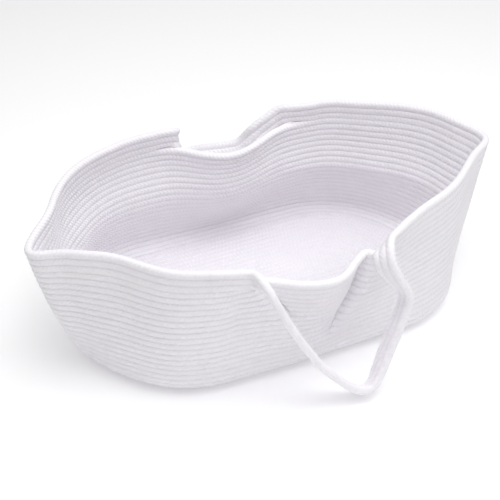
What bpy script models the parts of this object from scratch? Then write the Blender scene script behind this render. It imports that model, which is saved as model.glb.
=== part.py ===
# Moses basket, coiled from one kind of soft cotton rope and stitched row to row.
# Metres, +Z up. +X runs from the foot end to the head end, -Y is the near long side.
# The origin is the centre of the base's underside.
import bpy
import math
import numpy as np
from mathutils import Vector

# ---------------------------------------------------------------- driving dimensions
ROW = 0.010            # pitch of the rope rows
ROPE_R = 0.0046        # radius of the rope in the top rows and handles
SHELL = 0.009          # thickness of the stitched base and wall
BASE_STRAIGHT = 0.125  # half length of the base's straight middle
BASE_HALF_W = 0.174    # half width of the base at the foot of the wall
BASE_END = 0.149       # how far each rounded end reaches past the straight
CORNER = 0.028         # rounded corner between base and wall
WALL_ROWS = 24.0       # rows from the edge of the flat floor to the rim
HANDLE_ROWS = 3        # rows that leave the wall to make a handle
ROOT_FLARE = 0.006     # how far a handle's root stands out from the wall line
FLARE_RUN = 0.030      # length over which the top rows swing out to a root
END_GAP = 0.0008       # gap left where two rope ends meet
END_STUB = 0.0024      # straight stub that squares a rope's end to the hinge line
FAR_BOW = 0.018        # how far the far wall sags inwards at mid height
WALL_STATIONS = 120

# rim of the wall, in rows: x, y, z, counter-clockwise seen from above, head tip first
RIM = [
    (27.64, 1.69, 21.45), (24.34, 5.65, 21.33), (20.66, 8.83, 20.98), (16.97, 11.30, 20.91), (12.61, 12.26, 20.71),
    (8.90, 11.77, 20.67), (5.20, 10.20, 20.21), (0.10, 8.91, 19.72), (-3.80, 10.35, 20.27), (-7.20, 12.49, 21.04),
    (-11.30, 13.48, 21.14), (-16.45, 12.42, 21.30), (-22.05, 9.72, 21.52), (-25.91, 6.28, 21.63), (-28.32, 2.84, 21.58),
    (-31.41, -1.59, 21.39), (-34.43, -4.98, 20.78), (-34.68, -6.32, 20.76), (-32.08, -8.26, 21.18), (-29.79, -10.03, 21.52),
    (-26.65, -12.68, 21.78), (-23.58, -16.40, 21.60), (-21.01, -18.90, 21.43), (-18.10, -20.53, 21.45), (-14.91, -21.67, 21.40),
    (-11.60, -21.92, 21.37), (-6.90, -23.71, 20.79), (-3.40, -24.77, 20.37), (-0.60, -24.51, 20.50), (2.20, -22.76, 21.23),
    (5.20, -22.19, 21.29), (9.10, -21.28, 21.49), (12.78, -19.72, 21.80), (16.19, -18.40, 21.92), (20.03, -16.16, 21.95),
    (23.75, -13.00, 21.86), (26.92, -10.52, 21.78), (30.07, -7.62, 21.49), (30.10, -5.15, 21.41), (29.12, -2.25, 21.45),
]
# where the handles leave the wall: x of each root, in rows
FRONT_ROOTS = (-12.95, 6.2)
REAR_ROOTS = (-7.6, 10.8)
# middle row of each handle between its roots, in rows, and the way its top row faces
FRONT_PATH = [
    ((-12.28, -23.00, 20.00), (-0.10, -0.40, 0.91)),
    ((-12.12, -23.80, 20.08), (-0.22, -0.58, 0.78)),
    ((-11.93, -24.60, 19.88), (-0.31, -0.69, 0.65)),
    ((-11.60, -25.10, 19.15), (-0.36, -0.74, 0.57)),
    ((-11.02, -25.40, 17.81), (-0.36, -0.75, 0.56)),
    ((-9.30, -25.50, 14.20), (-0.37, -0.75, 0.56)),
    ((-7.70, -25.50, 11.20), (-0.37, -0.75, 0.56)),
    ((-6.20, -25.50, 8.70), (-0.37, -0.75, 0.56)),
    ((-4.60, -25.60, 6.20), (-0.37, -0.75, 0.56)),
    ((-2.40, -25.90, 3.70), (-0.37, -0.75, 0.56)),
    ((-0.40, -26.30, 1.90), (-0.37, -0.75, 0.56)),
    ((1.30, -26.60, 1.30), (-0.34, -0.81, 0.48)),
    ((2.50, -26.40, 2.00), (-0.18, -0.88, 0.43)),
    ((3.50, -26.00, 3.70), (-0.05, -0.93, 0.36)),
    ((4.70, -25.60, 6.20), (-0.02, -0.94, 0.34)),
    ((5.70, -25.60, 9.00), (-0.02, -0.94, 0.34)),
    ((6.60, -25.60, 11.50), (-0.10, -0.90, 0.42)),
    ((6.70, -25.70, 13.90), (-0.12, -0.88, 0.46)),
    ((5.00, -25.60, 16.67), (0.20, -0.84, 0.50)),
    ((4.10, -25.40, 18.15), (0.43, -0.80, 0.43)),
    ((3.77, -25.00, 19.40), (0.56, -0.73, 0.39)),
    ((4.05, -24.30, 20.15), (0.52, -0.60, 0.60)),
    ((4.80, -23.45, 20.25), (0.34, -0.46, 0.82)),
]
REAR_PATH = [
    ((10.20, 13.46, 19.62), (0.00, 0.00, 1.00)),
    ((9.50, 13.92, 19.24), (0.00, 0.00, 1.00)),
    ((8.60, 14.02, 18.60), (0.00, 0.02, 1.00)),
    ((7.59, 14.12, 18.02), (0.02, 0.04, 1.00)),
    ((6.56, 14.22, 17.36), (0.04, 0.12, 0.99)),
    ((5.69, 14.22, 16.70), (0.06, 0.22, 0.97)),
    ((4.92, 14.50, 15.75), (0.09, 0.32, 0.94)),
    ((3.86, 15.10, 14.49), (0.12, 0.40, 0.91)),
    ((2.28, 15.80, 14.06), (0.14, 0.46, 0.88)),
    ((0.56, 16.60, 13.79), (0.17, 0.52, 0.84)),
    ((-1.07, 17.60, 13.42), (0.20, 0.57, 0.80)),
    ((-2.59, 18.60, 12.87), (0.25, 0.62, 0.74)),
    ((-6.90, 19.50, 11.60), (0.32, 0.70, 0.64)),
    ((-8.40, 20.30, 9.40), (0.37, 0.75, 0.56)),
    ((-9.80, 20.80, 7.40), (0.37, 0.75, 0.56)),
    ((-11.00, 20.90, 6.50), (0.37, 0.76, 0.54)),
    ((-12.00, 20.70, 7.50), (0.30, 0.80, 0.52)),
    ((-12.10, 19.90, 9.90), (0.15, 0.86, 0.48)),
    ((-11.20, 18.80, 12.60), (0.10, 0.86, 0.50)),
    ((-9.40, 17.90, 14.90), (0.08, 0.84, 0.54)),
    ((-7.70, 17.10, 16.50), (0.00, 0.80, 0.60)),
    ((-6.50, 16.30, 17.70), (-0.16, 0.72, 0.67)),
    ((-6.10, 15.40, 18.70), (-0.22, 0.50, 0.84)),
    ((-6.42, 14.62, 19.30), (-0.12, 0.16, 0.98)),
    ((-6.60, 14.02, 19.68), (-0.05, 0.04, 1.00)),
]

COTTON = (0.86, 0.84, 0.88, 1.0)
COTTON_TOP = (0.90, 0.88, 0.92, 1.0)


# ---------------------------------------------------------------- curves
def outline(n=2400):
    """Base outline as a closed run of points, counter-clockwise from the head end, with its outward normals."""
    t = np.linspace(-math.pi / 2, math.pi / 2, n)
    a = np.stack([BASE_STRAIGHT + BASE_END * np.cos(t), BASE_HALF_W * np.sin(t)], -1)
    b = -a
    s = np.linspace(0, 1, n // 2)[1:-1, None]
    top = a[-1] + (b[0] - a[-1]) * s
    bot = b[-1] + (a[0] - b[-1]) * s
    p = np.vstack([a[n // 2:], top, b, bot, a[:n // 2], a[n // 2:n // 2 + 1]])
    d = np.linalg.norm(np.diff(p, axis=0), axis=1)
    u = np.concatenate([[0], np.cumsum(d)])
    return p, u / u[-1], u[-1]


OUT_P, OUT_U, OUT_LEN = outline()


def base_at(u):
    u = np.mod(u, 1.0)
    return np.stack([np.interp(u, OUT_U, OUT_P[:, 0]), np.interp(u, OUT_U, OUT_P[:, 1])], -1)


def normal_at(u):
    d = base_at(np.asarray(u) + 2e-3) - base_at(np.asarray(u) - 2e-3)
    d /= np.linalg.norm(d, axis=-1, keepdims=True)
    return np.stack([d[..., 1], -d[..., 0]], -1)


def periodic_spline(us, pts):
    """Cubic through pts at the ordered stations us in 0..1, closed on itself."""
    us = np.asarray(us, float)
    pts = np.asarray(pts, float)
    n = len(us)
    h = np.diff(np.concatenate([us, [us[0] + 1.0]]))
    m = np.zeros((n, n))
    r = np.zeros_like(pts)
    for i in range(n):
        j, k = (i - 1) % n, (i + 1) % n
        m[i, j] += h[j]
        m[i, i] += 2 * (h[j] + h[i])
        m[i, k] += h[i]
        r[i] = 6 * ((pts[k] - pts[i]) / h[i] - (pts[i] - pts[j]) / h[j])
    c = np.linalg.solve(m, r)

    def at(u):
        u = us[0] + np.mod(np.asarray(u, float) - us[0], 1.0)
        i = np.clip(np.searchsorted(us, u, side='right') - 1, 0, n - 1)
        k = (i + 1) % n
        w = (u - us[i])[..., None]
        g = h[i][..., None]
        v = g - w
        return (c[i] * v ** 3 + c[k] * w ** 3) / (6 * g) + (pts[i] / g - c[i] * g / 6) * v + (pts[k] / g - c[k] * g / 6) * w
    return at


def rim_spline():
    pts = np.array(RIM) * ROW
    us = np.array([OUT_U[np.argmin(((OUT_P - p[:2]) ** 2).sum(1))] for p in pts])
    order = np.argsort(us)
    return periodic_spline(us[order], pts[order])


RIM_AT = rim_spline()


def smooth(x):
    x = np.clip(x, 0.0, 1.0)
    return x * x * (3 - 2 * x)


def bell(x, c, w):
    return np.exp(-((x - c) / w) ** 2)


def sculpt(x, y, rows):
    """Soft hollows and swells of the wall, outward positive, in metres. x, y: the foot of the wall below the point."""
    f = np.clip(rows / WALL_ROWS, 0, 1)
    far = smooth((y + 0.02) / 0.12)
    soft = np.sin(math.pi * smooth(f)) ** 2
    knee = np.exp(-(np.abs(f - 0.52) / 0.25) ** 1.25) * smooth(f / 0.2) * smooth((1 - f) / 0.2)
    head = smooth((x - 0.06) / 0.12)
    d = -FAR_BOW * far * (soft * (1 - head) + knee * head * 1.15)
    tip = smooth((x - 0.21) / 0.05) * smooth((0.09 - y) / 0.06) * smooth((y + 0.09) / 0.06)
    d = d - 0.010 * tip * knee * (1 - far)
    # the foot end swells out at mid height, the near corner of the head end draws in low down
    foot = smooth((-x - 0.13) / 0.09)
    d = d + 0.0105 * foot * np.sin(math.pi * f ** 0.9) * (1 - 0.6 * far)
    corner = smooth((x - 0.19) / 0.06) * smooth((0.04 - y) / 0.10)
    d = d - 0.0060 * corner * bell(rows, 6.5, 4.5) * smooth(f / 0.12)
    near = smooth((-y - 0.13) / 0.04)
    # the sharp fold under the front handle's right root, caved in to its left and bulging to its right
    line = np.interp(rows, [5.0, 9.2, 11.8, 15.5, 21.2], [-0.014, 0.004, 0.015, 0.031, 0.041])
    e = x - line
    depth = smooth((rows - 6.0) / 7.0) * (1 - 0.80 * smooth((rows - 18.0) / 4.0))
    left = -0.0105 * np.exp(-(np.abs(e) / 0.034) ** 1.4)
    right = 0.0058 * np.exp(-(np.abs(e) / 0.040) ** 1.5)
    side = 0.5 + 0.5 * np.tanh(e / 0.0048)
    crease = -0.0058 * np.exp(-((e + 0.004) / 0.008) ** 2)
    d = d + near * depth * (left * (1 - side) + right * side + crease)
    # the pocket along its left root, steep on the side under the handle, and the narrow hollow on the other side of it
    e = x + 0.084 - 0.0070 * (17 - rows)
    d = d - near * 0.0125 * np.exp(-(np.abs(e) / np.where(e < 0, 0.009, 0.026)) ** 1.6) * bell(rows, 17.2, 4.0)
    d = d - near * 0.0042 * bell(x, -0.1335, 0.012) * bell(rows, 15.5, 5.0)
    return d


def wall_point(u, rows):
    """Middle of the wall's thickness at perimeter station u, this many rows up from the edge of the flat floor."""
    u = np.asarray(u, float)
    rows = np.asarray(rows, float)
    b = base_at(u)
    n = normal_at(u)
    corner = np.concatenate([b, np.full(b.shape[:-1] + (1,), SHELL / 2)], -1)
    out = np.concatenate([n, np.zeros(n.shape[:-1] + (1,))], -1)
    rim = RIM_AT(u)
    rise = rim - corner
    length = np.linalg.norm(rise, axis=-1, keepdims=True)
    up = rise / length
    start = corner - CORNER * out
    end = corner + CORNER * up
    t = np.linspace(0, 1, 25)
    shape = (len(t),) + (1,) * start.ndim
    tt = t.reshape(shape)
    arc = start * (1 - tt) ** 2 + 2 * corner * tt * (1 - tt) + end * tt ** 2
    run = end + (rim - end) * tt[1:]
    poly = np.concatenate([arc, run], 0)
    step = np.linalg.norm(np.diff(poly, axis=0), axis=-1)
    cum = np.concatenate([np.zeros((1,) + step.shape[1:]), np.cumsum(step, 0)], 0)
    want = rows / WALL_ROWS * cum[-1]
    flat_c = cum.reshape(len(poly), -1)
    flat_p = poly.reshape(len(poly), -1, 3)
    w = np.broadcast_to(want, step.shape[1:]).reshape(-1)
    res = np.stack([[np.interp(w[i], flat_c[:, i], flat_p[:, i, k]) for k in range(3)] for i in range(len(w))])
    res = res.reshape(start.shape)
    d = sculpt(b[..., 0], b[..., 1], rows)
    return res + out * np.asarray(d)[..., None]


def wall_frame(u, rows):
    p = wall_point(u, rows)
    du = wall_point(np.asarray(u) + 2e-3, rows) - wall_point(np.asarray(u) - 2e-3, rows)
    dv = wall_point(u, np.asarray(rows) + 0.15) - wall_point(u, np.asarray(rows) - 0.15)
    n = np.cross(du, dv)
    n /= np.linalg.norm(n, axis=-1, keepdims=True)
    return p, n


# ---------------------------------------------------------------- objects
def clear():
    for ob in list(bpy.data.objects):
        bpy.data.objects.remove(ob, do_unlink=True)


def material(name, colour, rough=0.85):
    m = bpy.data.materials.new(name)
    m.use_nodes = True
    b = m.node_tree.nodes.get("Principled BSDF")
    b.inputs["Base Color"].default_value = colour
    b.inputs["Roughness"].default_value = rough
    b.inputs["Metallic"].default_value = 0.0
    m.diffuse_color = colour
    return m


def mesh_object(name, verts, faces, mat, origin=None):
    me = bpy.data.meshes.new(name)
    o = np.zeros(3) if origin is None else np.asarray(origin, float)
    me.from_pydata([tuple(np.asarray(v) - o) for v in verts], [], faces)
    me.update()
    me.shade_smooth()
    me.set_sharp_from_angle(angle=math.radians(50))
    ob = bpy.data.objects.new(name, me)
    ob.location = Vector(tuple(o))
    me.materials.append(mat)
    bpy.context.scene.collection.objects.link(ob)
    return ob


def rope(name, pts, mat, radius=ROPE_R, parent=None):
    cu = bpy.data.curves.new(name, 'CURVE')
    cu.dimensions = '3D'
    cu.bevel_depth = radius
    cu.bevel_resolution = 2
    cu.use_fill_caps = True
    cu.twist_mode = 'MINIMUM'
    o = np.zeros(3) if parent is None else np.array(parent.location)
    sp = cu.splines.new('POLY')
    sp.points.add(len(pts) - 1)
    for q, p in zip(sp.points, pts):
        q.co = (*(np.asarray(p) - o), 1.0)
    sp.use_smooth = True
    ob = bpy.data.objects.new(name, cu)
    cu.materials.append(mat)
    bpy.context.scene.collection.objects.link(ob)
    if parent is not None:
        ob.parent = parent
    return ob


def base_coil(mat):
    u = np.arange(72) / 72.0
    b = base_at(u) - normal_at(u) * (CORNER + 0.0004)
    n = len(u)
    verts = [(*p, 0.0) for p in b] + [(*p, SHELL) for p in b]
    faces = [tuple(reversed(range(n))), tuple(range(n, 2 * n))]
    faces += [(i, (i + 1) % n, n + (i + 1) % n, n + i) for i in range(n)]
    return mesh_object("base_coil", verts, faces, mat)


def wall_coil(mat):
    top = WALL_ROWS - HANDLE_ROWS
    levels = [0.0, 1.1, 2.2, 3.4, 4.8, 7.5, 10.5, 13.5, 16.5, 19.0, top]
    u = np.arange(WALL_STATIONS) / WALL_STATIONS
    rings_out, rings_in = [], []
    for lv in levels:
        p, n = wall_frame(u, np.full(len(u), lv))
        if lv == 0.0:
            n = np.tile([0.0, 0.0, -1.0], (len(u), 1))
        rings_out.append(p + n * SHELL / 2)
        rings_in.append(p - n * SHELL / 2)
    rings = rings_out + rings_in[::-1]
    k = len(u)
    m = len(rings)
    verts = [tuple(v) for r in rings for v in r]
    faces = []
    for j in range(m):
        for i in range(k):
            a, b = j * k + i, j * k + (i + 1) % k
            c, d = ((j + 1) % m) * k + (i + 1) % k, ((j + 1) % m) * k + i
            faces.append((a, b, c, d))
    return mesh_object("wall_coil", verts, faces, mat)


def station_of(x, far, rows):
    """Perimeter station at which the wall's row passes x, on the far or the near side."""
    us = np.linspace(0.02, 0.48, 1600) if far else np.linspace(0.52, 0.98, 1600)
    px = wall_point(us, np.full(len(us), rows))[:, 0]
    return us[np.argmin(np.abs(px - x))]


def band_rows(u0, u1, count, root_spread):
    """Three rope rows on top of the wall from station u0 on to u1, swung out to a root at both ends."""
    rows = []
    mid = WALL_ROWS - HANDLE_ROWS / 2
    us = np.linspace(u0, u1, 400)
    p = wall_point(us, np.full(len(us), mid))
    d = np.concatenate([[0], np.cumsum(np.linalg.norm(np.diff(p, axis=0), axis=1))])
    s = (0.5 - 0.5 * np.cos(np.linspace(0, math.pi, count))) * 0.35 + np.linspace(0, 1, count) * 0.65
    us = np.interp(s * d[-1], d, us)
    s = s * d[-1]
    flare = ROOT_FLARE * (smooth(1 - s / FLARE_RUN) ** 0.9 + smooth(1 - (d[-1] - s) / FLARE_RUN) ** 0.9)
    for k in range(HANDLE_ROWS):
        lv = WALL_ROWS - HANDLE_ROWS + 0.56 + k
        q = wall_point(us, np.full(len(us), lv))
        n = wall_frame(us, np.full(len(us), mid))[1]
        rows.append(q + n * flare[:, None])
    return rows


def catmull(pts, n):
    """Smooth run of n points through pts, evenly spaced along its length."""
    p = np.asarray(pts, float)
    p = np.vstack([2 * p[0] - p[1], p, 2 * p[-1] - p[-2]])
    out = []
    for i in range(1, len(p) - 2):
        a, b, c, d = p[i - 1], p[i], p[i + 1], p[i + 2]
        for t in np.linspace(0, 1, 24, endpoint=False):
            out.append(0.5 * (2 * b + (c - a) * t + (2 * a - 5 * b + 4 * c - d) * t * t + (3 * b - a - 3 * c + d) * t ** 3))
    out.append(p[-2])
    out = np.array(out)
    s = np.concatenate([[0], np.cumsum(np.linalg.norm(np.diff(out[:, :3], axis=0), axis=1))])
    end = 0.045
    k = 9
    a = np.linspace(0, end, k)
    w = np.concatenate([a, np.linspace(end, s[-1] - end, n - 2 * k + 2)[1:-1], s[-1] - a[::-1]])
    return np.stack([np.interp(w, s, out[:, k]) for k in range(p.shape[1])], -1)


def root_of(rows):
    """Middle of a band's end, the way its ropes point there, and the way to its top row."""
    t = rows[1][-1] - rows[1][-2]
    t = t / np.linalg.norm(t)
    w = rows[2][-1] - rows[0][-1]
    w = w - t * (w @ t)
    return rows[1][-1], t, w / np.linalg.norm(w)


def square_end(rows, mid, out):
    """End every row of a band in the plane through mid across the hinge line, with a short straight stub along it."""
    res = []
    for r in rows:
        e = r[-1] + out * float((mid - r[-1]) @ out) + out * END_GAP / 2
        res.append(np.vstack([r[:-1], e + out * END_STUB, e]))
    return res


def handle_rows(start_rows, end_rows, path, count):
    """Three rope rows from the band ends start_rows to end_rows along path. Each band is given as its rows' runs,
    the last point being the root. Every rope end stands square on the hinge line, so that the rows of a swinging
    handle turn past the band's ends without meeting them."""
    a, ta, wa = root_of(start_rows)
    b, tb, wb = root_of(end_rows)
    axis = (a - b) / np.linalg.norm(a - b)
    ctrl = [(*(a - axis * END_GAP), *wa), (*(a - axis * 0.004 + ta * 0.002), *wa)]
    ctrl += [(*(np.array(q) * ROW), *w) for q, w in path]
    ctrl += [(*(b + axis * 0.004 + tb * 0.002), *wb), (*(b + axis * END_GAP), *wb)]
    c = catmull(ctrl, count)
    mid, w = c[:, :3], c[:, 3:]
    t = np.gradient(mid, axis=0)
    t /= np.linalg.norm(t, axis=1, keepdims=True)
    w = w - t * (w * t).sum(1, keepdims=True)
    w /= np.linalg.norm(w, axis=1, keepdims=True)
    rows = []
    for k in range(HANDLE_ROWS):
        r = mid + w * (k - 1) * ROW
        ends = []
        for band, m, inward in ((start_rows, a, -axis), (end_rows, b, axis)):
            q = band[k][-1]
            e = q + inward * float((m - q) @ inward) + inward * END_GAP / 2
            ends.append(np.array([e, e + inward * END_STUB]))
        lo = next(i for i in range(1, len(r)) if (r[i] - ends[0][1]) @ -axis > 0.0012)
        hi = next(i for i in range(len(r) - 2, 0, -1) if (r[i] - ends[1][1]) @ axis > 0.0012)
        keep = r[lo:hi + 1]
        rows.append(np.vstack([ends[0], keep, ends[1][::-1]]))
    return rows, a, b, axis


def empty(name, loc):
    e = bpy.data.objects.new(name, None)
    e.location = Vector(tuple(loc))
    bpy.context.scene.collection.objects.link(e)
    return e


def build():
    clear()
    m_base = material("base_rope", COTTON)
    m_wall = material("wall_rope", COTTON)
    m_band = material("band_rope", COTTON_TOP)
    m_hand = material("handle_rope", COTTON_TOP)
    base_coil(m_base)
    wall_coil(m_wall)
    mid = WALL_ROWS - HANDLE_ROWS / 2
    fl = station_of(FRONT_ROOTS[0] * ROW, False, mid)
    fr = station_of(FRONT_ROOTS[1] * ROW, False, mid)
    rl = station_of(REAR_ROOTS[0] * ROW, True, mid)
    rr = station_of(REAR_ROOTS[1] * ROW, True, mid)
    head = band_rows(fr, rr + 1.0, 40, 0)      # front right root, round the head end, to the rear right root
    foot = band_rows(rl, fl, 40, 0)            # rear left root, round the foot end, to the front left root
    back = lambda rows: [r[::-1] for r in rows]
    front, fa, fb, f_axis = handle_rows(foot, back(head), FRONT_PATH, 54)
    rear, ra, rb, r_axis = handle_rows(head, back(foot), REAR_PATH, 54)
    foot = square_end(foot, fa, f_axis)
    head = back(square_end(back(head), fb, -f_axis))
    head = square_end(head, ra, r_axis)
    foot = back(square_end(back(foot), rb, -r_axis))
    for k in range(HANDLE_ROWS):
        rope("head_band_row_%d" % (k + 1), head[k], m_band)
        rope("foot_band_row_%d" % (k + 1), foot[k], m_band)
    for name, rows, a, b in (("front_handle", front, fa, fb), ("rear_handle", rear, ra, rb)):
        hinge = empty(name + "_hinge", (a + b) / 2)
        for k in range(HANDLE_ROWS):
            rope("%s_row_%d" % (name, k + 1), rows[k], m_hand, parent=hinge)
        print("HINGE", name, "pos", np.round((a + b) / 2, 5).tolist(), "axis", np.round((a - b) / np.linalg.norm(a - b), 5).tolist(),
              "ends", np.round(a, 4).tolist(), np.round(b, 4).tolist())
    return head, foot, front, rear


build()
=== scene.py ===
# Looks of a coiled cotton rope moses basket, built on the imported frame.
import bpy
import math
import numpy as np
from mathutils import Matrix, Vector


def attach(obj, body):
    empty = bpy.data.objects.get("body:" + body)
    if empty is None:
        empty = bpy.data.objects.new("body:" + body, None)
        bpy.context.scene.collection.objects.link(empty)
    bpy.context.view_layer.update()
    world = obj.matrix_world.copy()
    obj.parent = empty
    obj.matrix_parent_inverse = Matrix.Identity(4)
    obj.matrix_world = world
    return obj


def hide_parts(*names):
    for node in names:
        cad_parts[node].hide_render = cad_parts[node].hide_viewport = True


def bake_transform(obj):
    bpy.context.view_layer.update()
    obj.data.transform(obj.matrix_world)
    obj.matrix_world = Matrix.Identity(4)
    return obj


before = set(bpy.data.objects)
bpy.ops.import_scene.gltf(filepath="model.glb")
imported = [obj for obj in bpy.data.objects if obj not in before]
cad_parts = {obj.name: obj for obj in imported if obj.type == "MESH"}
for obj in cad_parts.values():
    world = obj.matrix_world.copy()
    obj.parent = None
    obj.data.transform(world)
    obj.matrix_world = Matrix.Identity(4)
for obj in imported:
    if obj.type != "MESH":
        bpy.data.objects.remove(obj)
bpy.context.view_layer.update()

# ------------------------------------------------------------------ dimensions, the same as the solids'
ROW = 0.010
BASE_STRAIGHT = 0.125
BASE_HALF_W = 0.174
BASE_END = 0.149
CORNER = 0.028
WALL_ROWS = 24.0
HANDLE_ROWS = 3
ROOT_FLARE = 0.006
FLARE_RUN = 0.030
FAR_BOW = 0.018
FLOOR_ROWS = 15
FLOOR_MID = 0.005

RIM = [
    (27.64, 1.69, 21.45), (24.34, 5.65, 21.33), (20.66, 8.83, 20.98), (16.97, 11.30, 20.91), (12.61, 12.26, 20.71),
    (8.90, 11.77, 20.67), (5.20, 10.20, 20.21), (0.10, 8.91, 19.72), (-3.80, 10.35, 20.27), (-7.20, 12.49, 21.04),
    (-11.30, 13.48, 21.14), (-16.45, 12.42, 21.30), (-22.05, 9.72, 21.52), (-25.91, 6.28, 21.63), (-28.32, 2.84, 21.58),
    (-31.41, -1.59, 21.39), (-34.43, -4.98, 20.78), (-34.68, -6.32, 20.76), (-32.08, -8.26, 21.18), (-29.79, -10.03, 21.52),
    (-26.65, -12.68, 21.78), (-23.58, -16.40, 21.60), (-21.01, -18.90, 21.43), (-18.10, -20.53, 21.45), (-14.91, -21.67, 21.40),
    (-11.60, -21.92, 21.37), (-6.90, -23.71, 20.79), (-3.40, -24.77, 20.37), (-0.60, -24.51, 20.50), (2.20, -22.76, 21.23),
    (5.20, -22.19, 21.29), (9.10, -21.28, 21.49), (12.78, -19.72, 21.80), (16.19, -18.40, 21.92), (20.03, -16.16, 21.95),
    (23.75, -13.00, 21.86), (26.92, -10.52, 21.78), (30.07, -7.62, 21.49), (30.10, -5.15, 21.41), (29.12, -2.25, 21.45),
]
FRONT_ROOTS = (-12.95, 6.2)
REAR_ROOTS = (-7.6, 10.8)
FRONT_PATH = [
    ((-12.28, -23.00, 20.00), (-0.10, -0.40, 0.91)),
    ((-12.12, -23.80, 20.08), (-0.22, -0.58, 0.78)),
    ((-11.93, -24.60, 19.88), (-0.31, -0.69, 0.65)),
    ((-11.60, -25.10, 19.15), (-0.36, -0.74, 0.57)),
    ((-11.02, -25.40, 17.81), (-0.36, -0.75, 0.56)),
    ((-9.30, -25.50, 14.20), (-0.37, -0.75, 0.56)),
    ((-7.70, -25.50, 11.20), (-0.37, -0.75, 0.56)),
    ((-6.20, -25.50, 8.70), (-0.37, -0.75, 0.56)),
    ((-4.60, -25.60, 6.20), (-0.37, -0.75, 0.56)),
    ((-2.40, -25.90, 3.70), (-0.37, -0.75, 0.56)),
    ((-0.40, -26.30, 1.90), (-0.37, -0.75, 0.56)),
    ((1.30, -26.60, 1.30), (-0.34, -0.81, 0.48)),
    ((2.50, -26.40, 2.00), (-0.18, -0.88, 0.43)),
    ((3.50, -26.00, 3.70), (-0.05, -0.93, 0.36)),
    ((4.70, -25.60, 6.20), (-0.02, -0.94, 0.34)),
    ((5.70, -25.60, 9.00), (-0.02, -0.94, 0.34)),
    ((6.60, -25.60, 11.50), (-0.10, -0.90, 0.42)),
    ((6.70, -25.70, 13.90), (-0.12, -0.88, 0.46)),
    ((5.00, -25.60, 16.67), (0.20, -0.84, 0.50)),
    ((4.10, -25.40, 18.15), (0.43, -0.80, 0.43)),
    ((3.77, -25.00, 19.40), (0.56, -0.73, 0.39)),
    ((4.05, -24.30, 20.15), (0.52, -0.60, 0.60)),
    ((4.80, -23.45, 20.25), (0.34, -0.46, 0.82)),
]
REAR_PATH = [
    ((10.20, 13.46, 19.62), (0.00, 0.00, 1.00)),
    ((9.50, 13.92, 19.24), (0.00, 0.00, 1.00)),
    ((8.60, 14.02, 18.60), (0.00, 0.02, 1.00)),
    ((7.59, 14.12, 18.02), (0.02, 0.04, 1.00)),
    ((6.56, 14.22, 17.36), (0.04, 0.12, 0.99)),
    ((5.69, 14.22, 16.70), (0.06, 0.22, 0.97)),
    ((4.92, 14.50, 15.75), (0.09, 0.32, 0.94)),
    ((3.86, 15.10, 14.49), (0.12, 0.40, 0.91)),
    ((2.28, 15.80, 14.06), (0.14, 0.46, 0.88)),
    ((0.56, 16.60, 13.79), (0.17, 0.52, 0.84)),
    ((-1.07, 17.60, 13.42), (0.20, 0.57, 0.80)),
    ((-2.59, 18.60, 12.87), (0.25, 0.62, 0.74)),
    ((-6.90, 19.50, 11.60), (0.32, 0.70, 0.64)),
    ((-8.40, 20.30, 9.40), (0.37, 0.75, 0.56)),
    ((-9.80, 20.80, 7.40), (0.37, 0.75, 0.56)),
    ((-11.00, 20.90, 6.50), (0.37, 0.76, 0.54)),
    ((-12.00, 20.70, 7.50), (0.30, 0.80, 0.52)),
    ((-12.10, 19.90, 9.90), (0.15, 0.86, 0.48)),
    ((-11.20, 18.80, 12.60), (0.10, 0.86, 0.50)),
    ((-9.40, 17.90, 14.90), (0.08, 0.84, 0.54)),
    ((-7.70, 17.10, 16.50), (0.00, 0.80, 0.60)),
    ((-6.50, 16.30, 17.30), (-0.16, 0.72, 0.67)),
    ((-6.20, 15.40, 18.10), (-0.22, 0.50, 0.84)),
    ((-6.45, 14.62, 18.60), (-0.12, 0.16, 0.98)),
    ((-6.75, 14.00, 19.20), (-0.05, 0.04, 1.00)),
]


# ------------------------------------------------------------------ curves and the wall's surface
def outline(n=2400):
    t = np.linspace(-math.pi / 2, math.pi / 2, n)
    a = np.stack([BASE_STRAIGHT + BASE_END * np.cos(t), BASE_HALF_W * np.sin(t)], -1)
    b = -a
    s = np.linspace(0, 1, n // 2)[1:-1, None]
    top = a[-1] + (b[0] - a[-1]) * s
    bot = b[-1] + (a[0] - b[-1]) * s
    p = np.vstack([a[n // 2:], top, b, bot, a[:n // 2], a[n // 2:n // 2 + 1]])
    d = np.linalg.norm(np.diff(p, axis=0), axis=1)
    u = np.concatenate([[0], np.cumsum(d)])
    return p, u / u[-1]


OUT_P, OUT_U = outline()


def base_at(u):
    u = np.mod(u, 1.0)
    return np.stack([np.interp(u, OUT_U, OUT_P[:, 0]), np.interp(u, OUT_U, OUT_P[:, 1])], -1)


def normal_at(u):
    d = base_at(np.asarray(u) + 2e-3) - base_at(np.asarray(u) - 2e-3)
    d /= np.linalg.norm(d, axis=-1, keepdims=True)
    return np.stack([d[..., 1], -d[..., 0]], -1)


def periodic_spline(us, pts):
    us = np.asarray(us, float)
    pts = np.asarray(pts, float)
    n = len(us)
    h = np.diff(np.concatenate([us, [us[0] + 1.0]]))
    m = np.zeros((n, n))
    r = np.zeros_like(pts)
    for i in range(n):
        j, k = (i - 1) % n, (i + 1) % n
        m[i, j] += h[j]
        m[i, i] += 2 * (h[j] + h[i])
        m[i, k] += h[i]
        r[i] = 6 * ((pts[k] - pts[i]) / h[i] - (pts[i] - pts[j]) / h[j])
    c = np.linalg.solve(m, r)

    def at(u):
        u = us[0] + np.mod(np.asarray(u, float) - us[0], 1.0)
        i = np.clip(np.searchsorted(us, u, side='right') - 1, 0, n - 1)
        k = (i + 1) % n
        w = (u - us[i])[..., None]
        g = h[i][..., None]
        v = g - w
        return (c[i] * v ** 3 + c[k] * w ** 3) / (6 * g) + (pts[i] / g - c[i] * g / 6) * v + (pts[k] / g - c[k] * g / 6) * w
    return at


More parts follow.
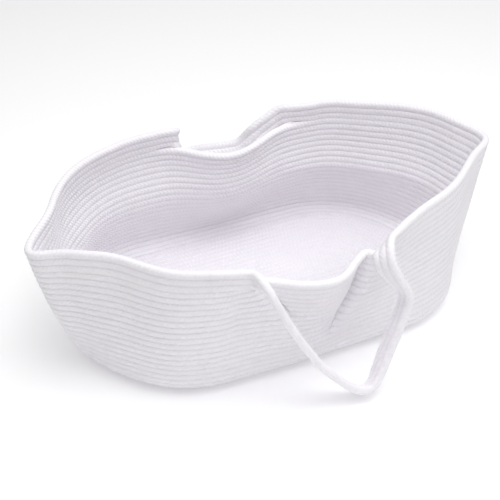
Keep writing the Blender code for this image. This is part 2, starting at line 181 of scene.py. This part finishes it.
def rim_spline():
    pts = np.array(RIM) * ROW
    us = np.array([OUT_U[np.argmin(((OUT_P - p[:2]) ** 2).sum(1))] for p in pts])
    order = np.argsort(us)
    return periodic_spline(us[order], pts[order])


RIM_AT = rim_spline()


def smooth(x):
    x = np.clip(x, 0.0, 1.0)
    return x * x * (3 - 2 * x)


def bell(x, c, w):
    return np.exp(-((x - c) / w) ** 2)


def sculpt(x, y, rows):
    """Soft hollows and swells of the wall, outward positive, in metres. x, y: the foot of the wall below the point."""
    f = np.clip(rows / WALL_ROWS, 0, 1)
    far = smooth((y + 0.02) / 0.12)
    soft = np.sin(math.pi * smooth(f)) ** 2
    knee = np.exp(-(np.abs(f - 0.52) / 0.25) ** 1.25) * smooth(f / 0.2) * smooth((1 - f) / 0.2)
    head = smooth((x - 0.06) / 0.12)
    d = -FAR_BOW * far * (soft * (1 - head) + knee * head * 1.15)
    tip = smooth((x - 0.21) / 0.05) * smooth((0.09 - y) / 0.06) * smooth((y + 0.09) / 0.06)
    d = d - 0.010 * tip * knee * (1 - far)
    # the foot end swells out at mid height, the near corner of the head end draws in low down
    foot = smooth((-x - 0.13) / 0.09)
    d = d + 0.0105 * foot * np.sin(math.pi * f ** 0.9) * (1 - 0.6 * far)
    corner = smooth((x - 0.19) / 0.06) * smooth((0.04 - y) / 0.10)
    d = d - 0.0060 * corner * bell(rows, 6.5, 4.5) * smooth(f / 0.12)
    near = smooth((-y - 0.13) / 0.04)
    # the sharp fold under the front handle's right root, caved in to its left and bulging to its right
    line = np.interp(rows, [5.0, 9.2, 11.8, 15.5, 21.2], [-0.014, 0.004, 0.015, 0.031, 0.041])
    e = x - line
    depth = smooth((rows - 6.0) / 7.0) * (1 - 0.80 * smooth((rows - 18.0) / 4.0))
    left = -0.0105 * np.exp(-(np.abs(e) / 0.034) ** 1.4)
    right = 0.0058 * np.exp(-(np.abs(e) / 0.040) ** 1.5)
    side = 0.5 + 0.5 * np.tanh(e / 0.0048)
    crease = -0.0058 * np.exp(-((e + 0.004) / 0.008) ** 2)
    d = d + near * depth * (left * (1 - side) + right * side + crease)
    # the pocket along its left root, steep on the side under the handle, and the narrow hollow on the other side of it
    e = x + 0.084 - 0.0070 * (17 - rows)
    d = d - near * 0.0125 * np.exp(-(np.abs(e) / np.where(e < 0, 0.009, 0.026)) ** 1.6) * bell(rows, 17.2, 4.0)
    d = d - near * 0.0042 * bell(x, -0.1335, 0.012) * bell(rows, 15.5, 5.0)
    return d


def wall_grid(us, rows):
    """Middle of the wall's thickness on the grid of perimeter stations us and row counts rows: (len(us), len(rows), 3)."""
    us = np.asarray(us, float)
    rows = np.asarray(rows, float)
    b = base_at(us)
    n = normal_at(us)
    corner = np.concatenate([b, np.full((len(us), 1), FLOOR_MID)], -1)
    out = np.concatenate([n, np.zeros((len(us), 1))], -1)
    rim = RIM_AT(us)
    rise = rim - corner
    length = np.linalg.norm(rise, axis=-1, keepdims=True)
    up = rise / length
    start = corner - CORNER * out
    end = corner + CORNER * up
    tt = np.linspace(0, 1, 33)[:, None, None]
    arc = start * (1 - tt) ** 2 + 2 * corner * tt * (1 - tt) + end * tt ** 2
    run = end + (rim + up * 0.01 - end) * np.linspace(0, 1, 3)[1:, None, None]
    poly = np.concatenate([arc, run], 0)
    total = 0.0
    step = np.linalg.norm(np.diff(poly, axis=0), axis=-1)
    cum = np.concatenate([np.zeros((1, len(us))), np.cumsum(step, 0)], 0)
    total = cum[-1] - 0.01
    res = np.empty((len(us), len(rows), 3))
    for i in range(len(us)):
        want = rows / WALL_ROWS * total[i]
        for k in range(3):
            res[i, :, k] = np.interp(want, cum[:, i], poly[:, i, k])
    d = sculpt(b[:, 0][:, None], b[:, 1][:, None], rows[None, :])
    return res + out[:, None, :] * d[..., None]


def wall_frame(us, rows):
    us = np.asarray(us, float)
    rows = np.asarray(rows, float)
    p = wall_grid(us, rows)
    du = wall_grid(us + 1.5e-3, rows) - wall_grid(us - 1.5e-3, rows)
    dv = wall_grid(us, rows + 0.25) - wall_grid(us, rows - 0.25)
    n = np.cross(du, dv)
    n /= np.linalg.norm(n, axis=-1, keepdims=True)
    return p, n


def stations(count):
    """Perimeter stations, closer together where the rim bends."""
    u = np.linspace(0, 1, 3001)
    p = wall_grid(u, [18.0])[:, 0]
    d = np.linalg.norm(np.diff(p, axis=0), axis=1)
    t = np.diff(p, axis=0) / np.maximum(d[:, None], 1e-9)
    turn = np.concatenate([[0], np.arccos(np.clip((t[1:] * t[:-1]).sum(1), -1, 1))])
    k = np.convolve(np.r_[turn[-20:], turn, turn[:20]], np.ones(41) / 41, 'same')[20:-20]
    um = 0.5 * (u[1:] + u[:-1])
    c = np.concatenate([[0], np.cumsum((d + 0.02 * k) * (1 + 1.4 * bell(um, 0.765, 0.022)))])
    return np.interp(np.arange(count) / count * c[-1], c, u)


# ------------------------------------------------------------------ meshes
def grid_object(name, P, attr, wrap_u=False, wrap_v=False):
    """A quad grid. P is (nu, nv, 3). attr is (nu + wrap_u, nv + wrap_v, 3), kept per face corner."""
    nu, nv = P.shape[:2]
    fu = nu if wrap_u else nu - 1
    fv = nv if wrap_v else nv - 1
    i, j = np.meshgrid(np.arange(fu), np.arange(fv), indexing='ij')
    i, j = i.ravel(), j.ravel()
    i1, j1 = (i + 1) % nu, (j + 1) % nv
    quads = np.stack([i * nv + j, i1 * nv + j, i1 * nv + j1, i * nv + j1], 1).astype(np.int32)
    ai = np.stack([i, i + 1, i + 1, i], 1)
    aj = np.stack([j, j, j + 1, j + 1], 1)
    a = attr[ai, aj].reshape(-1, 3).astype(np.float32)
    me = bpy.data.meshes.new(name)
    me.vertices.add(nu * nv)
    me.vertices.foreach_set("co", P.reshape(-1).astype(np.float32))
    me.loops.add(len(quads) * 4)
    me.loops.foreach_set("vertex_index", quads.ravel())
    me.polygons.add(len(quads))
    me.polygons.foreach_set("loop_start", np.arange(len(quads), dtype=np.int32) * 4)
    me.update(calc_edges=True)
    me.validate()
    at = me.attributes.new("rope", 'FLOAT_VECTOR', 'CORNER')
    at.data.foreach_set("vector", a.ravel())
    me.shade_smooth()
    ob = bpy.data.objects.new(name, me)
    bpy.context.scene.collection.objects.link(ob)
    return ob


SUB = np.array([0.0, 0.11, 0.35, 0.65, 0.89])


def ridge(m, closed_low=None, closed_high=None):
    """Half thickness in rows at row count m: round ridges with a stitched groove between them."""
    x = 2 * (m - np.floor(m + 1e-9)) - 1
    h = 0.5 * (0.60 + 0.40 * np.sqrt(np.maximum(0, 1 - (0.97 * x) ** 2)))
    if closed_high is not None:
        top = m > closed_high - 0.5 - 1e-9
        xx = np.clip(2 * (m - (closed_high - 1)) - 1, 0, 1)
        h = np.where(top, 0.5 * np.sqrt(np.maximum(0, 1 - xx ** 2.4)), h)
    if closed_low is not None:
        low = m < closed_low + 0.5 + 1e-9
        xx = np.clip(1 - 2 * (m - closed_low), 0, 1)
        h = np.where(low, 0.5 * np.sqrt(np.maximum(0, 1 - xx ** 2.4)), h)
    return h


def row_samples(m0, m1, close_low=False, close_high=False):
    m = np.concatenate([np.arange(m0, m1)[:, None] + SUB[None, :]]).ravel()
    m = np.append(m, m1)
    if close_high:
        m = np.concatenate([m[:-2], [m1 - 0.14, m1 - 0.06, m1 - 0.015, m1]])
    if close_low:
        m = np.concatenate([[m0, m0 + 0.015, m0 + 0.06, m0 + 0.14], m[2:]])
    return m


PITCH = 0.066          # a whole number of braid turns and of stitches, so that closed rows meet themselves


def row_length(P, t):
    """Length along the rope for each grid point, (nu + 1, nv), the last for the wrap; t is each column's row count."""
    d = np.linalg.norm(np.diff(np.concatenate([P, P[:1]], 0), axis=0), axis=-1)
    s = np.concatenate([np.zeros((1, P.shape[1])), np.cumsum(d, 0)], 0)
    row = np.floor(np.clip(t, 0, t.max() - 1e-6)).astype(int)
    for r in np.unique(row):
        total = s[-1, row == r].mean()
        s[:, row == r] *= max(1, round(total / PITCH)) * PITCH / s[-1, row == r]
    return s


US = stations(416)
TOP = int(WALL_ROWS) - HANDLE_ROWS


def station_of(x, far, rows):
    us = np.linspace(0.02, 0.48, 1600) if far else np.linspace(0.52, 0.98, 1600)
    px = wall_grid(us, [rows])[:, 0, 0]
    return us[np.argmin(np.abs(px - x))]


MIDROW = WALL_ROWS - HANDLE_ROWS / 2
U_FL = station_of(FRONT_ROOTS[0] * ROW, False, MIDROW)
U_FR = station_of(FRONT_ROOTS[1] * ROW, False, MIDROW)
U_RL = station_of(REAR_ROOTS[0] * ROW, True, MIDROW)
U_RR = station_of(REAR_ROOTS[1] * ROW, True, MIDROW)


def build_floor():
    m = row_samples(0, FLOOR_ROWS)
    us = US
    f = base_at(us) - CORNER * normal_at(us)
    c = np.stack([np.clip(f[:, 0], -BASE_STRAIGHT, BASE_STRAIGHT), np.zeros(len(us))], -1)
    rho = m / FLOOR_ROWS
    xy = c[:, None, :] + (f - c)[:, None, :] * rho[None, :, None]
    h = ridge(m) * ROW
    h[-1] = ridge(np.array([0.0]))[0] * ROW
    top = np.concatenate([xy, np.broadcast_to((FLOOR_MID + h)[None, :, None], xy.shape[:2] + (1,))], -1)
    bot = np.concatenate([xy, np.broadcast_to((FLOOR_MID - h)[None, :, None], xy.shape[:2] + (1,))], -1)
    P = np.concatenate([bot, top[:, ::-1]], 1)
    t = np.concatenate([m, m[::-1]])
    s = row_length(P, t)
    attr = np.stack([s, np.broadcast_to(t, s.shape), np.ones_like(s)], -1)
    return grid_object("base_rope_coil", P, attr, wrap_u=True)


def band_mask(us):
    """1 where the handle rows lie on the wall's top, 0 in the two gaps."""
    u = np.mod(us, 1.0)
    gap_f = (u > U_FL) & (u < U_FR)
    gap_r = (u > U_RR) & (u < U_RL)
    return np.where(gap_f | gap_r, 0.0, 1.0)


def build_wall():
    m = row_samples(0, TOP, close_high=True)
    p, n = wall_frame(US, m)
    # closed and round in the two gaps, full where the top rows sit on it, with a short change between the two
    free = 1.0 - np.minimum(np.minimum(band_mask(US - 0.012), band_mask(US + 0.012)), band_mask(US))
    for _ in range(8):
        free = (np.roll(free, 1) + free + np.roll(free, -1)) / 3
    h = (free[:, None] * ridge(m, closed_high=TOP)[None, :] + (1 - free)[:, None] * ridge(m)[None, :]) * ROW
    outer = p + n * h[..., None]
    inner = p - n * h[..., None]
    P = np.concatenate([outer, inner[:, ::-1][:, 1:]], 1)
    t = np.concatenate([m, m[::-1][1:]])
    s = row_length(np.concatenate([p, p[:, ::-1][:, 1:]], 1), t)
    mask = band_mask(np.r_[US, US[0]])[:, None]
    top = (t > TOP - 0.5)[None, :]
    mk = np.where(top, mask, 1.0)
    attr = np.stack([s, np.broadcast_to(t, s.shape), mk], -1)
    attr = np.concatenate([attr, attr[:, :1]], 1)
    return grid_object("wall_rope_coil", P, attr, wrap_u=True, wrap_v=True)


def strap_object(name, mid, w, n, s, hold, m):
    """A flat strap of three rope rows. mid, w, n: (k, 3) centre line, the way to the top row, outer face. hold: 1 where
    the strap sits on the wall and is sewn to it, 0 where it is free and its lower edge is round."""
    hold = hold[:, None]
    h = ((1 - hold) * ridge(m, closed_low=0, closed_high=HANDLE_ROWS) + hold * ridge(m, closed_high=HANDLE_ROWS)) * ROW
    a = (m - HANDLE_ROWS / 2 - 0.12 * hold * smooth(1 - m / 0.5)) * ROW
    outer = mid[:, None, :] + w[:, None, :] * a[..., None] + n[:, None, :] * h[..., None]
    inner = mid[:, None, :] + w[:, None, :] * a[..., None] - n[:, None, :] * h[..., None]
    P = np.concatenate([outer, inner[:, ::-1][:, 1:-1]], 1)
    t = np.concatenate([m, m[::-1][1:-1]])
    mask = np.where(t < 0.5, hold, ((t > 0.5) & (t < HANDLE_ROWS - 0.5)).astype(float))
    attr = np.stack([np.broadcast_to(s[:, None], (len(s), len(t))), np.broadcast_to(t + 40, (len(s), len(t))),
                     np.broadcast_to(mask, (len(s), len(t)))], -1)
    attr = np.concatenate([attr, attr[:, :1]], 1)
    return grid_object(name, P, attr, wrap_v=True)


BAND_M = row_samples(0, HANDLE_ROWS, True, True)


def band_run(u0, u1, step=0.0035):
    us = np.linspace(u0, u1, 900)
    p = wall_grid(us, [MIDROW])[:, 0]
    d = np.concatenate([[0], np.cumsum(np.linalg.norm(np.diff(p, axis=0), axis=1))])
    count = int(d[-1] / step) + 2
    s = np.linspace(0, d[-1], count)
    us = np.interp(s, d, us)
    flare = ROOT_FLARE * (smooth(1 - s / FLARE_RUN) ** 0.9 + smooth(1 - (d[-1] - s) / FLARE_RUN) ** 0.9)
    mid, n = wall_frame(us, [MIDROW])
    mid, n = mid[:, 0], n[:, 0]
    lo = wall_grid(us, [MIDROW - 1.0])[:, 0]
    hi = wall_grid(us, [MIDROW + 1.0])[:, 0]
    w = hi - lo
    w /= np.linalg.norm(w, axis=1, keepdims=True)
    return mid + n * flare[:, None] + w * 0.0006, w


def catmull(pts, step):
    p = np.asarray(pts, float)
    p = np.vstack([2 * p[0] - p[1], p, 2 * p[-1] - p[-2]])
    out = []
    for i in range(1, len(p) - 2):
        a, b, c, d = p[i - 1], p[i], p[i + 1], p[i + 2]
        for t in np.linspace(0, 1, 24, endpoint=False):
            out.append(0.5 * (2 * b + (c - a) * t + (2 * a - 5 * b + 4 * c - d) * t * t + (3 * b - a - 3 * c + d) * t ** 3))
    out.append(p[-2])
    out = np.array(out)
    s = np.concatenate([[0], np.cumsum(np.linalg.norm(np.diff(out[:, :3], axis=0), axis=1))])
    w = np.linspace(0, s[-1], int(s[-1] / step) + 2)
    q = np.stack([np.interp(w, s, out[:, k]) for k in range(p.shape[1])], -1)
    for _ in range(10):
        q[1:-1] = 0.25 * q[:-2] + 0.5 * q[1:-1] + 0.25 * q[2:]
    return q, w


def handle_run(start, end, path, step=0.0025):
    """start and end: the bands' (mid, w, t) at the two roots, t pointing out of the band."""
    (a, wa, ta), (b, wb, tb) = start, end
    ctrl = [(*a, *wa), (*(a + ta * 0.005), *wa)]
    ctrl += [(*(np.array(q) * ROW), *w) for q, w in path]
    ctrl += [(*(b + tb * 0.005), *wb), (*b, *wb)]
    c, s = catmull(ctrl, step)
    return c[:, :3], c[:, 3:]


def root(run, last):
    mid, w = run
    i, j = (-1, -3) if last else (0, 2)
    t = mid[i] - mid[j]
    return mid[i], w[i], t / np.linalg.norm(t)


def rim_loop():
    """The three top rows as one closed run: foot band, front handle, head band, rear handle. Gives mid, w, n, s and the
    index ranges of the four pieces, which share their end rings."""
    foot = band_run(U_RL, U_FL)
    head = band_run(U_FR, U_RR + 1.0)
    front = handle_run(root(foot, True), root(head, False), FRONT_PATH)
    rear = handle_run(root(head, True), root(foot, False), REAR_PATH)
    parts = [foot, (front[0][1:-1], front[1][1:-1]), head, (rear[0][1:-1], rear[1][1:-1])]
    mid = np.concatenate([q[0] for q in parts])
    w = np.concatenate([q[1] for q in parts])
    edge = np.cumsum([0] + [len(q[0]) for q in parts])
    k = len(mid)
    soft = np.zeros(k)
    for e in edge[:4]:
        off = np.abs((np.arange(k) - e + k // 2) % k - k // 2)
        soft = np.maximum(soft, smooth(1 - off / 14.0))
    for _ in range(24):
        for v in (mid, w):
            v += soft[:, None] * (0.25 * np.roll(v, 1, 0) + 0.25 * np.roll(v, -1, 0) - 0.5 * v)
    t = np.roll(mid, -1, 0) - np.roll(mid, 1, 0)
    t /= np.linalg.norm(t, axis=1, keepdims=True)
    w = w - t * (w * t).sum(1, keepdims=True)
    w /= np.linalg.norm(w, axis=1, keepdims=True)
    n = np.cross(t, w)
    d = np.linalg.norm(np.roll(mid, -1, 0) - mid, axis=1)
    s = np.concatenate([[0], np.cumsum(d)])
    s *= round(s[-1] / PITCH) * PITCH / s[-1]
    reach = int(round(BLEND_RUN / 0.0035))
    cuts = [edge[0] + reach, edge[1] - reach, edge[2] + reach, edge[3] - reach]
    at = np.arange(k)
    hold = np.maximum(smooth((np.minimum(at - edge[0], edge[1] - at) - 3) / 7.0),
                      smooth((np.minimum(at - edge[2], edge[3] - at) - 3) / 7.0))
    return mid, w, n, s, cuts, hold


BLEND_RUN = 0.050      # how much of each band a handle's piece takes with it


# ------------------------------------------------------------------ materials
# groove: the colour of the painted shade in the creases between rope rows
def rope_material(name, colour, thread, groove, bump=0.38, braid=1.0):
    mat = bpy.data.materials.new(name)
    mat.use_nodes = True
    nt = mat.node_tree
    nt.nodes.clear()
    N = nt.nodes.new
    L = nt.links.new

    def math_(op, a, b=None, c=None, clamp=False):
        n = N('ShaderNodeMath')
        n.operation = op
        n.use_clamp = clamp
        for k, v in enumerate((a, b, c)):
            if v is None:
                continue
            if isinstance(v, (int, float)):
                n.inputs[k].default_value = v
            else:
                L(v, n.inputs[k])
        return n.outputs[0]

    def ramp(v, a, b):
        n = N('ShaderNodeMapRange')
        n.interpolation_type = 'SMOOTHSTEP'
        n.inputs['From Min'].default_value = a
        n.inputs['From Max'].default_value = b
        L(v, n.inputs['Value'])
        return n.outputs['Result']

    def noise(scale, detail=2.0, vec=None):
        n = N('ShaderNodeTexNoise')
        n.inputs['Scale'].default_value = scale
        n.inputs['Detail'].default_value = detail
        L(vec or tc.outputs['Object'], n.inputs['Vector'])
        return n.outputs['Fac']

    def mix(fac, a, b):
        n = N('ShaderNodeMix')
        n.data_type = 'RGBA'
        for k, v in ((0, fac), (6, a), (7, b)):
            if isinstance(v, (int, float)):
                n.inputs[k].default_value = v
            elif isinstance(v, tuple):
                n.inputs[k].default_value = (*v, 1.0)
            else:
                L(v, n.inputs[k])
        return n.outputs[2]

    out = N('ShaderNodeOutputMaterial')
    bs = N('ShaderNodeBsdfPrincipled')
    tc = N('ShaderNodeTexCoord')
    at = N('ShaderNodeAttribute')
    at.attribute_name = "rope"
    sep = N('ShaderNodeSeparateXYZ')
    L(at.outputs['Vector'], sep.inputs[0])
    s, t, mk = sep.outputs
    row = math_('FLOOR', t)
    shift = N('ShaderNodeTexWhiteNoise')
    shift.noise_dimensions = '1D'
    L(row, shift.inputs['W'])
    wob = noise(55.0, 1.0)
    sw = math_('ADD', s, math_('MULTIPLY', math_('SUBTRACT', wob, 0.5), 0.0022))
    # braid: plaited strands lean one way below the rope's middle and the other way above it
    ridge_t = math_('PINGPONG', t, 0.5)
    phase = math_('ADD', math_('DIVIDE', sw, 0.0055), math_('ADD', math_('MULTIPLY', ridge_t, 1.5), shift.outputs['Value']))
    strand = math_('MULTIPLY', math_('ADD', math_('SINE', math_('MULTIPLY', phase, 2 * math.pi)), 1.0), 0.5)
    # zigzag stitch over each groove
    g = math_('SUBTRACT', t, math_('ROUND', t))
    line = math_('ROUND', t)
    shift2 = N('ShaderNodeTexWhiteNoise')
    shift2.noise_dimensions = '1D'
    L(math_('ADD', line, 31.7), shift2.inputs['W'])
    zz = math_('MULTIPLY', math_('SUBTRACT', math_('MULTIPLY', math_('PINGPONG', math_('ADD', math_('DIVIDE', sw, 0.0030), shift2.outputs['Value']), 1.0), 2.0), 1.0), 0.30)
    dist = math_('ABSOLUTE', math_('SUBTRACT', g, zz))
    stitch = math_('MULTIPLY', math_('SUBTRACT', 1.0, ramp(dist, 0.05, 0.13)), mk)
    ag = math_('ABSOLUTE', g)
    # painted shade: this mask is 1 in the crease between two rows, where shade falls, and fades out over the row
    groove_shade_mask = math_('MULTIPLY', math_('SUBTRACT', 1.0, ramp(ag, 0.02, 0.16)), mk)
    fuzz = noise(900.0, 3.0)
    patch = noise(14.0, 2.0)
    height = math_('MULTIPLY', strand, 0.8 * braid)
    height = math_('ADD', height, math_('MULTIPLY', stitch, 0.7))
    height = math_('ADD', height, math_('MULTIPLY', fuzz, 0.25))
    bp = N('ShaderNodeBump')
    bp.inputs['Strength'].default_value = bump
    bp.inputs['Distance'].default_value = 0.0016
    L(height, bp.inputs['Height'])
    L(bp.outputs[0], bs.inputs['Normal'])
    # painted shade: the colour is a little darker in the hollows between the braid's strands, where the bump height is
    # low
    braid_hollow_shade = tuple(c * 0.94 for c in colour)
    col = mix(math_('MULTIPLY', math_('SUBTRACT', 1.0, strand), 0.30), colour, braid_hollow_shade)
    # painted shade: the crease between rows is darkened towards the groove shade colour
    col = mix(math_('MULTIPLY', groove_shade_mask, 0.5), col, groove)
    col = mix(math_('MULTIPLY', stitch, 0.8), col, thread)
    col = mix(math_('MULTIPLY', ramp(patch, 0.35, 0.75), 0.25), col, tuple(c * 0.95 for c in colour))
    L(col, bs.inputs['Base Color'])
    L(math_('ADD', math_('MULTIPLY', fuzz, 0.12), 0.78), bs.inputs['Roughness'])
    bs.inputs['Specular IOR Level'].default_value = 0.2
    bs.inputs['Sheen Weight'].default_value = 0.25
    bs.inputs['Sheen Roughness'].default_value = 0.6
    bs.inputs['Subsurface Weight'].default_value = 0.35
    bs.inputs['Subsurface Scale'].default_value = 0.004
    bs.inputs['Subsurface Radius'].default_value = (1.0, 0.95, 1.0)
    L(bs.outputs[0], out.inputs['Surface'])
    return mat


COTTON = (0.950, 0.922, 0.972)
THREAD = (0.94, 0.92, 0.955)
# painted shade colour for the creases between rope rows, not a dye of the cotton
GROOVE_SHADE = (0.80, 0.77, 0.84)
mat_coil = rope_material("cotton_coil", COTTON, THREAD, GROOVE_SHADE)
mat_floor = rope_material("cotton_floor", tuple(c * 0.92 for c in COTTON), THREAD, GROOVE_SHADE)
mat_band = rope_material("cotton_rim", tuple(c * 0.985 for c in COTTON), THREAD, GROOVE_SHADE, bump=0.32)

floor_piece = build_floor()
wall_piece = build_wall()
pieces = {"base_rope_coil": floor_piece, "wall_rope_coil": wall_piece}

LOOP = rim_loop()


def loop_piece(name, i, j):
    mid, w, n, s, _, hold = LOOP
    k = len(mid)
    idx = np.arange(i, j + 1)
    ss = s[idx % k] + (idx // k) * s[-1]
    return strap_object(name, mid[idx % k], w[idx % k], n[idx % k], ss, hold[idx % k], BAND_M)


CUTS = LOOP[4]
pieces["foot_band"] = loop_piece("foot_band", CUTS[0], CUTS[1])
pieces["front_handle_strap"] = loop_piece("front_handle_strap", CUTS[1], CUTS[2])
pieces["head_band"] = loop_piece("head_band", CUTS[2], CUTS[3])
pieces["rear_handle_strap"] = loop_piece("rear_handle_strap", CUTS[3], CUTS[0] + len(LOOP[0]))

for nm, ob in pieces.items():
    ob.data.materials.append(mat_floor if nm == "base_rope_coil" else mat_coil if nm == "wall_rope_coil" else mat_band)

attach(pieces["base_rope_coil"], "basket")
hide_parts("base_coil")
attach(pieces["wall_rope_coil"], "basket")
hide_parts("wall_coil")
for nm in ("head_band", "foot_band"):
    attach(pieces[nm], "basket")
    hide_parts(*["%s_row_%d" % (nm, k) for k in (1, 2, 3)])
for nm, out_y in (("front_handle", -1.0), ("rear_handle", 1.0)):
    ob = pieces[nm + "_strap"]
    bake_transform(ob)
    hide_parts(*["%s_row_%d" % (nm, k) for k in (1, 2, 3)])


# ------------------------------------------------------------------ stage, light, camera
def stage():
    me = bpy.data.meshes.new("studio_floor")
    r = 6.0
    me.from_pydata([(-r, -r, -0.0004), (r, -r, -0.0004), (r, r, -0.0004), (-r, r, -0.0004)], [], [(0, 1, 2, 3)])
    ob = bpy.data.objects.new("studio_floor", me)
    bpy.context.scene.collection.objects.link(ob)
    m = bpy.data.materials.new("studio_white")
    m.use_nodes = True
    b = m.node_tree.nodes["Principled BSDF"]
    b.inputs["Base Color"].default_value = (0.95, 0.95, 0.955, 1)
    b.inputs["Roughness"].default_value = 0.9
    b.inputs["Specular IOR Level"].default_value = 0.0
    b.inputs["Emission Color"].default_value = (1, 1, 1, 1)
    b.inputs["Emission Strength"].default_value = 0.18
    me.materials.append(m)
    w = bpy.data.worlds.new("studio")
    bpy.context.scene.world = w
    w.use_nodes = True
    bg = w.node_tree.nodes["Background"]
    bg.inputs[0].default_value = (1.0, 0.995, 1.0, 1)
    bg.inputs[1].default_value = 0.275
    for nm, loc, size, power in (("key", (0.10, -0.40, 1.9), 3.2, 33.0), ("inner", (0.0, -0.45, 1.75), 1.1, 10.5)):
        ld = bpy.data.lights.new(nm, 'AREA')
        ld.size = size
        ld.energy = power
        lo = bpy.data.objects.new(nm, ld)
        lo.location = loc
        d = Vector((0, 0, 0.1)) - Vector(loc)
        lo.rotation_euler = d.to_track_quat('-Z', 'Y').to_euler()
        bpy.context.scene.collection.objects.link(lo)


def camera():
    az, el = math.radians(-26.14), math.radians(33.8)
    dist, target = 2.0, Vector((0.0291, 0.1011, 0.0))
    back = Vector((math.sin(az) * math.cos(el), -math.cos(az) * math.cos(el), math.sin(el)))
    right = Vector((math.cos(az), math.sin(az), 0.0))
    up = back.cross(right)
    cd = bpy.data.cameras.new("photo_camera")
    cd.sensor_width = 36.0
    cd.lens = 36.0 * 1353.0 / 500.0
    cd.clip_end = 50.0
    co = bpy.data.objects.new("photo_camera", cd)
    m = Matrix.Identity(4)
    for r in range(3):
        m[r][0], m[r][1], m[r][2] = right[r], up[r], back[r]
    m.translation = target + back * dist
    co.matrix_world = m
    bpy.context.scene.collection.objects.link(co)
    bpy.context.scene.camera = co


stage()
camera()
bpy.context.scene.view_settings.view_transform = 'Standard'
